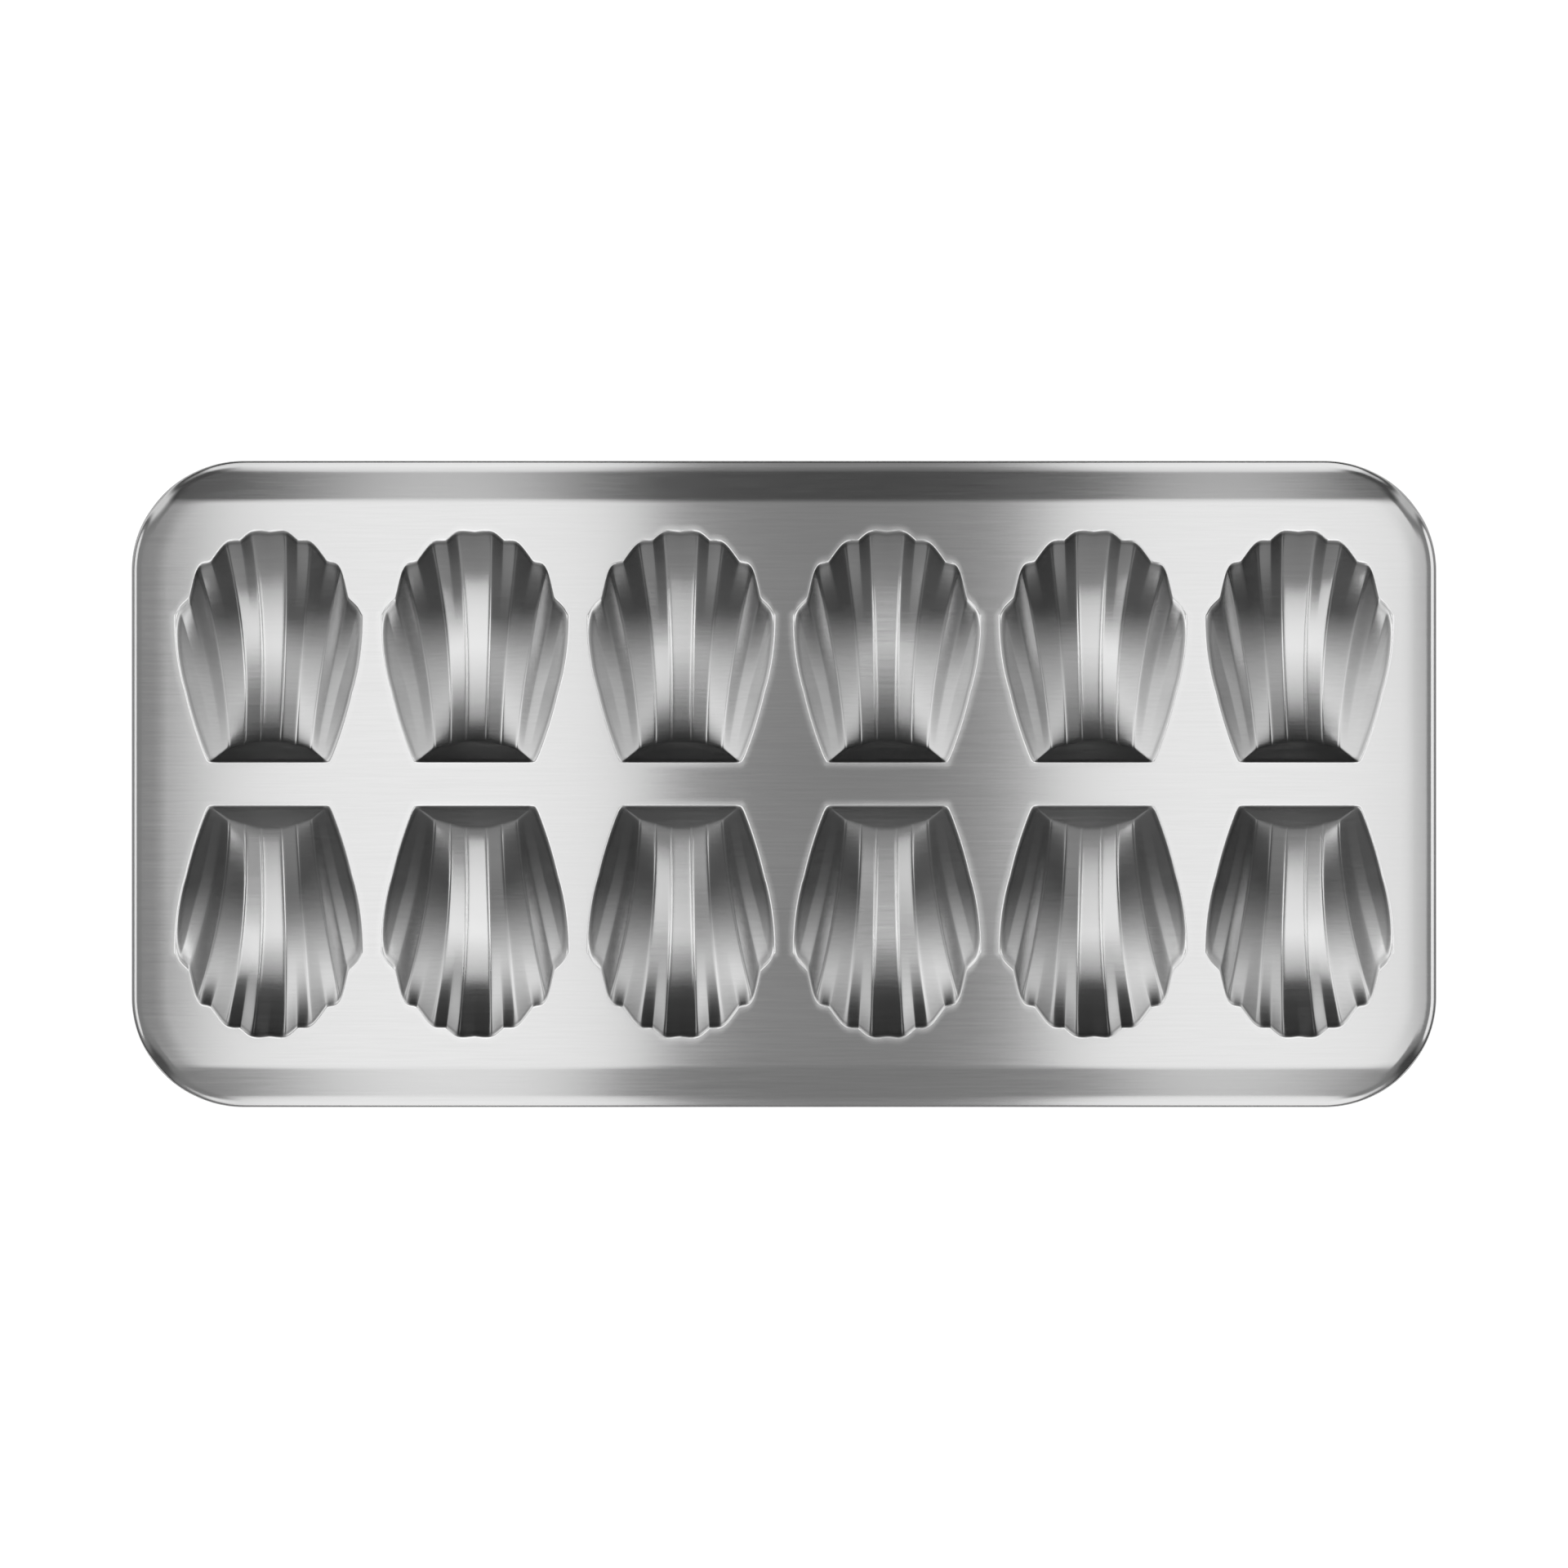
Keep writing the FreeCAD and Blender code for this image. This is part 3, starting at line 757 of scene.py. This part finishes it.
def slope_height(across, along):
    """Height of the sheet before its rim is formed."""
    side_fall = eased_ramp(np.abs(along) - half_width + SIDE_RUN, CREASE_EASE)
    side_fall = side_fall - eased_ramp(np.abs(along) - half_width + RIM_LAND, LAND_EASE)
    past = np.maximum(np.abs(across) - half_length + CORNER_RADIUS, 0)
    beyond = np.maximum(np.abs(along) - half_width + CORNER_RADIUS, 0)
    out = np.hypot(past, beyond) - CORNER_RADIUS
    end_fall = END_SLOPE * eased_ramp(out + END_BAND, END_EASE) * np.clip(past / CORNER_RADIUS, 0, 1)
    dip = DIP_SLOPE * eased_ramp(out + DIP_BAND, DIP_EASE)
    corner_share = np.exp(-((np.arctan2(beyond, past) - DIP_PLACE) / DIP_SPREAD) ** 2)
    return deck_height - math.tan(SIDE_SLOPE) * side_fall - end_fall - dip * corner_share


print(f"the slopes fall {(deck_height - slope_height(0.0, half_width)) / MM:.2f} mm")

# %% [markdown]
# The rim follows the outline, so the tray is made as rings of points that do the same: up the skirt,
# over the rolled edge, across the land and in to the edge of the flat middle. A plain grid would
# cut the rounded corners into steps.

# %% Rings of the tray
CORNER_STEPS = 40
LONG_STEPS = 60
SHORT_STEPS = 26
ROLL_STEPS = 9
RIM_STEPS = 11
BAND_STEPS = 30
EDGE_ROLL = 0.75 * MM
RIM_REACH = 3.6 * MM
VALLEY_DEPTH = 0.045 * MM
VALLEY_PLACE = 1.8 * MM
VALLEY_WIDTH = 0.62 * MM
PLATE_INSET_X = 11.0 * MM
PLATE_INSET_Y = 15.0 * MM
PLATE_RADIUS = 20.0 * MM


def rounded_outline(half_x, half_y, radius):
    """Points round a rounded rectangle, anticlockwise, the same number for any size."""
    points = []
    corners = [(1, -1, LONG_STEPS), (1, 1, SHORT_STEPS), (-1, 1, LONG_STEPS), (-1, -1, SHORT_STEPS)]
    start = np.array([-(half_x - radius), -half_y])
    for quarter, (side, end, steps) in enumerate(corners):
        centre = np.array([side * (half_x - radius), end * (half_y - radius)])
        angles = np.linspace(quarter - 1, quarter, CORNER_STEPS + 1) * math.pi / 2
        arc = centre + radius * np.stack([np.cos(angles), np.sin(angles)], axis=1)
        shares = np.arange(steps)[:, None] / steps
        points.append(start + (arc[0] - start) * shares)
        points.append(arc[:-1])
        start = arc[-1]
    return np.concatenate(points)


def tray_rings():
    """Rings of points from the foot of the skirt to the edge of the flat middle."""
    outline = rounded_outline(half_length, half_width, CORNER_RADIUS)
    plate = rounded_outline(half_length - PLATE_INSET_X, half_width - PLATE_INSET_Y, PLATE_RADIUS)
    rings = [np.column_stack([outline, np.full(len(outline), skirt_foot)])]
    turns = np.linspace(0, math.pi / 2, ROLL_STEPS)
    depths = np.append(EDGE_ROLL * (1 - np.cos(turns)), np.linspace(EDGE_ROLL, RIM_REACH, RIM_STEPS)[1:])
    drops = np.append(EDGE_ROLL * (1 - np.sin(turns)), np.zeros(RIM_STEPS - 1))
    drops = drops + VALLEY_DEPTH * np.exp(-((depths - VALLEY_PLACE) / VALLEY_WIDTH) ** 2)
    for depth, drop in zip(depths, drops):
        inset = rounded_outline(half_length - depth, half_width - depth, CORNER_RADIUS - depth)
        rings.append(np.column_stack([inset, slope_height(*inset.T) - drop]))
    band = rings[-1][:, :2]
    for share in np.arange(1, BAND_STEPS + 1) / BAND_STEPS:
        place = band + (plate - band) * share
        rings.append(np.column_stack([place, slope_height(*place.T)]))
    rings[-1][:, 2] = deck_height
    return rings


rings = tray_rings()
print("rings:", len(rings), "of", len(rings[0]), "points")

# %% [markdown]
# The flat middle is one filled face with twelve openings, whose edges are the shells' own outlines,
# so that deck and shells meet point for point. A boolean cut would leave ragged edges there. Solidify
# then gives the whole tray the sheet's thickness, downwards only.

# %% Fill the middle and close the sheet
def add_loop(plan, places):
    """A closed loop of new points and its edges."""
    corners = [plan.verts.new(place) for place in places]
    edges = [plan.edges.new((corners[index - 1], corners[index])) for index in range(len(corners))]
    return corners, edges


def tray_mesh():
    """The upper face of the tray: its rings, and the flat middle with its openings."""
    plan = bmesh.new()
    middle, border = add_loop(plan, rings[-1])
    for side in (1, -1):
        for column in column_places:
            places = shell_outline * [side, side, 1] + [column, side * row_place, deck_height]
            border += add_loop(plan, places)[1]
    bmesh.ops.triangle_fill(plan, edges=border, use_beauty=True, normal=(0, 0, 1))
    ring_points = [[plan.verts.new(place) for place in ring] for ring in rings[:-1]] + [middle]
    for outer, inner in zip(ring_points, ring_points[1:]):
        for index in range(len(outer)):
            plan.faces.new((outer[index - 1], outer[index], inner[index], inner[index - 1]))
    mesh = bpy.data.meshes.new("tray")
    plan.to_mesh(mesh)
    plan.free()
    return mesh


def thicken(piece, offset, even):
    """Give a piece the sheet's thickness, below it at an offset of -1 or to both sides at 0."""
    wall = piece.modifiers.new("sheet", "SOLIDIFY")
    wall.thickness = SHEET_THICKNESS
    wall.offset = offset
    wall.use_even_offset = even
    bake_modifiers(piece)
    finish_sheet(piece.data)


tray = add_object("tray", tray_mesh())
thicken(tray, offset=-1, even=True)
tray.data.materials.append(sheet_steel)
settle(tray, ["tray_sheet"])

# %% [markdown]
# ## The rolled rim
# The sheet's cut edge is rolled inwards round a wire, three quarters of a turn. A loft of rings
# would do it, but a rule that follows a path is what Geometry Nodes do best: a rounded rectangle is
# the path, an open arc is the roll, and the arc is carried round the path.

# %% Carry the roll round the rim
ROLL_TURN = math.radians(270)
ROLL_POINTS = 28
RIM_CORNER_POINTS = 40

rim_tree, rim_sockets = new_tree("rolled_rim", {
    "Width": "NodeSocketFloat",
    "Height": "NodeSocketFloat",
    "Corner": "NodeSocketFloat",
    "Place": "NodeSocketVector",
    "Roll Radius": "NodeSocketFloat",
    "Material": "NodeSocketMaterial",
})
given = add_node(rim_tree, "NodeGroupInput", (-900, 0))
result = add_node(rim_tree, "NodeGroupOutput", (900, 0))
rim_line = add_node(rim_tree, "GeometryNodeCurvePrimitiveQuadrilateral", (-650, 200))
rounded = add_node(rim_tree, "GeometryNodeFilletCurve", (-400, 200), mode="POLY")
rounded.inputs["Count"].default_value = RIM_CORNER_POINTS
roll = add_node(rim_tree, "GeometryNodeCurveArc", (-400, -200))
roll.inputs["Resolution"].default_value = ROLL_POINTS
roll.inputs["Sweep Angle"].default_value = ROLL_TURN
swept = add_node(rim_tree, "GeometryNodeCurveToMesh", (-100, 100))
placed = add_node(rim_tree, "GeometryNodeTransform", (150, 100))
real = add_node(rim_tree, "GeometryNodeRealizeInstances", (400, 100))
dressed = add_node(rim_tree, "GeometryNodeSetMaterial", (650, 100))
link_all(rim_tree, [
    (given, "Width", rim_line, "Width"),
    (given, "Height", rim_line, "Height"),
    (rim_line, "Curve", rounded, "Curve"),
    (given, "Corner", rounded, "Radius"),
    (given, "Roll Radius", roll, "Radius"),
    (rounded, "Curve", swept, "Curve"),
    (roll, "Curve", swept, "Profile Curve"),
    (swept, "Mesh", placed, "Geometry"),
    (given, "Place", placed, "Translation"),
    (placed, "Geometry", real, "Geometry"),
    (real, "Geometry", dressed, "Geometry"),
    (given, "Material", dressed, "Material"),
    (dressed, "Geometry", result, "Geometry"),
])
print("rim tree:", len(rim_tree.nodes), "nodes")

# %% [markdown]
# The arc has no thickness yet. Solidify adds the sheet's thickness to both sides of its line, so the
# roll carries on from the skirt above it and leaves room for the wire inside.

# %% Make the rim a plain closed mesh
ROLL_RADIUS = 1.65 * MM

rim = run_tree("rim_roll", rim_tree, rim_sockets, {
    "Width": 2 * (half_length - ROLL_RADIUS),
    "Height": 2 * (half_width - ROLL_RADIUS),
    "Corner": CORNER_RADIUS - ROLL_RADIUS,
    "Place": (0, 0, skirt_foot),
    "Roll Radius": ROLL_RADIUS - SHEET_THICKNESS / 2,
    "Material": sheet_steel,
})
thicken(rim, offset=0, even=False)
settle(rim, ["rolled_rim"])

# %% [markdown]
# ## The wire
# The wire shows only in the gap where the roll ends, so the CAD solid is shape enough. It keeps its
# mesh and takes a plain drawn-steel finish with the same lines and marks.

# %% Finish the wire
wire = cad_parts["rim_wire"]
wire.data.materials.clear()
wire.data.materials.append(wire_steel)
print("wire triangles:", len(wire.data.polygons))

# %% [markdown]
# ## Floor
# The pan lies on white paper, whose edge is never seen. A curved backdrop would do as well, but one
# large flat face is enough. It lies a hair below the moulds, so that no two faces share a place.

# %% Sheet of paper
FLOOR_HALF = 6.0
FLOOR_DROP = 0.2 * MM

floor_mesh = bpy.data.meshes.new("floor")
floor_mesh.from_pydata([(FLOOR_HALF * x, FLOOR_HALF * y, -FLOOR_DROP)
                        for x, y in ((-1, -1), (1, -1), (1, 1), (-1, 1))], [], [(0, 1, 2, 3)])
floor = add_object("floor", floor_mesh)
print("floor:", floor.dimensions.x, "m wide")

# %% [markdown]
# A lamp strong enough to whiten the paper would burn out the steel, so the paper glows by itself for
# the camera and, less, for what the steel mirrors. It stays matt below the glow, which keeps the
# pan's shadow. Close to the pan the mirrored glow fades out: a painted shadow of the pan on the
# paper, seen only in the steel.

# %% White of the paper
FLOOR_TONE = 0.9
FLOOR_GLOW = 0.9
MIRRORED_GLOW = 0.5
PAINTED_SHADOW_REACH = (4 * MM, 26 * MM)

paper = bpy.data.materials.new("white_paper")
paper.use_nodes = True
tree = paper.node_tree
tree.nodes.clear()
place = add_node(tree, "ShaderNodeTexCoord", (-1500, -100))
folded = add_node(tree, "ShaderNodeVectorMath", (-1300, -100), operation="ABSOLUTE")
outside = add_node(tree, "ShaderNodeVectorMath", (-1100, -100), operation="SUBTRACT")
outside.inputs[1].default_value = (half_length, half_width, 0)
beyond = add_node(tree, "ShaderNodeVectorMath", (-900, -100), operation="MAXIMUM")
distance = add_node(tree, "ShaderNodeVectorMath", (-700, -100), operation="LENGTH")
# painted shadow: the glow that the steel mirrors fades out close to the pan
mirrored_glow_painted_shadow = fade_node(tree, (-500, -100), distance.outputs["Value"], 0, MIRRORED_GLOW, *PAINTED_SHADOW_REACH,
                interpolation_type="SMOOTHSTEP")
ray = add_node(tree, "ShaderNodeLightPath", (-800, 200))
direct = math_node(tree, "MULTIPLY", (-500, 300), ray.outputs["Is Camera Ray"], FLOOR_GLOW)
mirrored = math_node(tree, "MAXIMUM", (-500, 100), ray.outputs["Is Glossy Ray"],
                     ray.outputs["Is Transmission Ray"])
strength = math_node(tree, "MULTIPLY_ADD", (-300, 200), mirrored, mirrored_glow_painted_shadow, direct)
glow = add_node(tree, "ShaderNodeEmission", (-100, 200))
tree.links.new(strength, glow.inputs["Strength"])
matt = add_node(tree, "ShaderNodeBsdfDiffuse", (-100, 0))
matt.inputs["Color"].default_value = (FLOOR_TONE, FLOOR_TONE, FLOOR_TONE, 1)
both = add_node(tree, "ShaderNodeAddShader", (150, 100))
surface = add_node(tree, "ShaderNodeOutputMaterial", (350, 100))
link_all(tree, [
    (place, "Object", folded, 0),
    (folded, "Vector", outside, 0),
    (outside, "Vector", beyond, 0),
    (beyond, "Vector", distance, 0),
    (glow, "Emission", both, 0),
    (matt, "BSDF", both, 1),
    (both, "Shader", surface, "Surface"),
])
floor_mesh.materials.append(paper)
print("paper glow:", FLOOR_GLOW, "for the camera,", MIRRORED_GLOW, "in the steel")

# %% [markdown]
# ## Light
# Steel is only as good as what it reflects. Two long softboxes hang over the pan, left and right of
# the camera, with a gap between them that draws the darker band down the middle of the deck. Plain
# rectangles would mirror as hard bars. Ellipses narrow towards their ends, and so do the bright
# bands on the deck.

# %% Softboxes
BOX_HEIGHT = 1.0
BOX_GLOW = 0.87
BOX_CORNERS = {
    "softbox_left": ((-0.331, -0.93), (-0.068, 0.8)),
    "softbox_right": ((0.139, -0.76), (0.38, 0.74)),
}

for name, ((left, front), (right, back)) in BOX_CORNERS.items():
    lamp = bpy.data.lights.new(name, "AREA")
    lamp.shape = "ELLIPSE"
    lamp.size = right - left
    lamp.size_y = back - front
    area = math.pi / 4 * lamp.size * lamp.size_y
    lamp.energy = BOX_GLOW * math.pi * area
    box = add_object(name, lamp)
    box.location = ((left + right) / 2, (front + back) / 2, deck_height + BOX_HEIGHT)
    box.visible_camera = False
    print(f"{name}: {lamp.energy:.2f} W over {lamp.size:.2f} x {lamp.size_y:.2f} m")

# %% [markdown]
# The rest of what the steel mirrors is the room. Each slope and flute looks at its own part of it, so
# its greys give the facets their contrast. A picture of a room would do, but two ramps of grey from
# front to back are easier to tune: a dim front and a dark back in the middle, and a dark front and a
# bright back at the sides.

# %% Greys of the room
MIDDLE_TONES = [(0.0, 0.15), (0.05, 0.2), (0.15, 0.23), (0.3, 0.22), (0.46, 0.255), (0.54, 0.3),
                (0.7, 0.09), (0.85, 0.03), (1.0, 0.02)]
SIDE_TONES = [(0.0, 0.09), (0.2, 0.09), (0.36, 0.05), (0.5, 0.3), (0.7, 0.72), (1.0, 0.8)]


def tone_ramp(tree, place, tones):
    """Greys at set places from the front of the room, at 0, to its back, at 1."""
    ramp = add_node(tree, "ShaderNodeValToRGB", place)
    stops = ramp.color_ramp.elements
    for stop, (where, tone) in zip(stops, (tones[0], tones[-1])):
        stop.position = where
        stop.color = (tone, tone, tone, 1)
    for where, tone in tones[1:-1]:
        stops.new(where).color = (tone, tone, tone, 1)
    return ramp


world = bpy.data.worlds.new("studio_room")
bpy.context.scene.world = world
world.use_nodes = True
tree = world.node_tree
middle = tone_ramp(tree, (-600, 0), MIDDLE_TONES)
sides = tone_ramp(tree, (-600, -250), SIDE_TONES)
print("room tones:", len(MIDDLE_TONES), "in the middle,", len(SIDE_TONES), "at the sides")

# %% [markdown]
# The two ramps are mixed by how far to the side the steel looks. The left side is a little lighter
# than the right, and all of it darkens towards the horizon. Only what is mirrored needs the greys, so
# the camera itself sees the room as plain white.

# %% Join the greys into a room
LEFT_TO_RIGHT = (1.2, 0.75)
HORIZON_TONE = 0.2
HORIZON_TOP = 0.55
SIDE_START = 0.24
SIDE_FULL = 0.6

place = add_node(tree, "ShaderNodeTexCoord", (-1200, 0))
split = add_node(tree, "ShaderNodeSeparateXYZ", (-1000, 0))
depth = fade_node(tree, (-800, 0), split.outputs["Y"], 0, 1, start=-1)
aside = math_node(tree, "ABSOLUTE", (-800, 250), split.outputs["X"])
share = fade_node(tree, (-600, 250), aside, 0, 1, SIDE_START, SIDE_FULL, interpolation_type="SMOOTHSTEP")
lean = fade_node(tree, (-600, -500), split.outputs["X"], *LEFT_TO_RIGHT, start=-1)
horizon = fade_node(tree, (-600, -700), split.outputs["Z"], HORIZON_TONE, 1, 0, HORIZON_TOP,
                    interpolation_type="SMOOTHSTEP")
leaning = add_node(tree, "ShaderNodeVectorMath", (-400, -350), operation="SCALE")
walls = add_node(tree, "ShaderNodeMix", (-200, 0), data_type="RGBA")
dimmed = add_node(tree, "ShaderNodeVectorMath", (-100, -200), operation="SCALE")
ray = add_node(tree, "ShaderNodeLightPath", (-200, 300))
seen = add_node(tree, "ShaderNodeMix", (0, 100), data_type="RGBA")
seen.inputs["B"].default_value = (1, 1, 1, 1)
for value, entry in ((depth, middle.inputs["Fac"]), (depth, sides.inputs["Fac"]),
                     (lean, leaning.inputs["Scale"]), (share, walls.inputs["Factor"]),
                     (horizon, dimmed.inputs["Scale"])):
    tree.links.new(value, entry)
link_all(tree, [
    (place, "Generated", split, "Vector"),
    (sides, "Color", leaning, "Vector"),
    (middle, "Color", walls, "A"),
    (leaning, "Vector", walls, "B"),
    (walls, "Result", dimmed, "Vector"),
    (ray, "Is Camera Ray", seen, "Factor"),
    (dimmed, "Vector", seen, "A"),
    (seen, "Result", tree.nodes["Background"], "Color"),
])
print("room:", len(tree.nodes), "nodes")

# %% [markdown]
# ## Camera
# The photograph looks straight down from well above the pan, so the camera hangs over the middle.
# Its lens follows from its height and from how much of the floor the picture takes in.

# %% Camera
CAMERA_HEIGHT = 1.25
FRAME_WIDTH = 0.4804
SENSOR_WIDTH = 36

lens = bpy.data.cameras.new("camera")
lens.sensor_width = SENSOR_WIDTH
lens.lens = SENSOR_WIDTH * CAMERA_HEIGHT / FRAME_WIDTH
camera = add_object("camera", lens)
camera.location = (0, 0, deck_height + CAMERA_HEIGHT)
bpy.context.scene.camera = camera
bpy.context.scene.view_settings.view_transform = "Standard"
print(f"lens {lens.lens:.1f} mm")
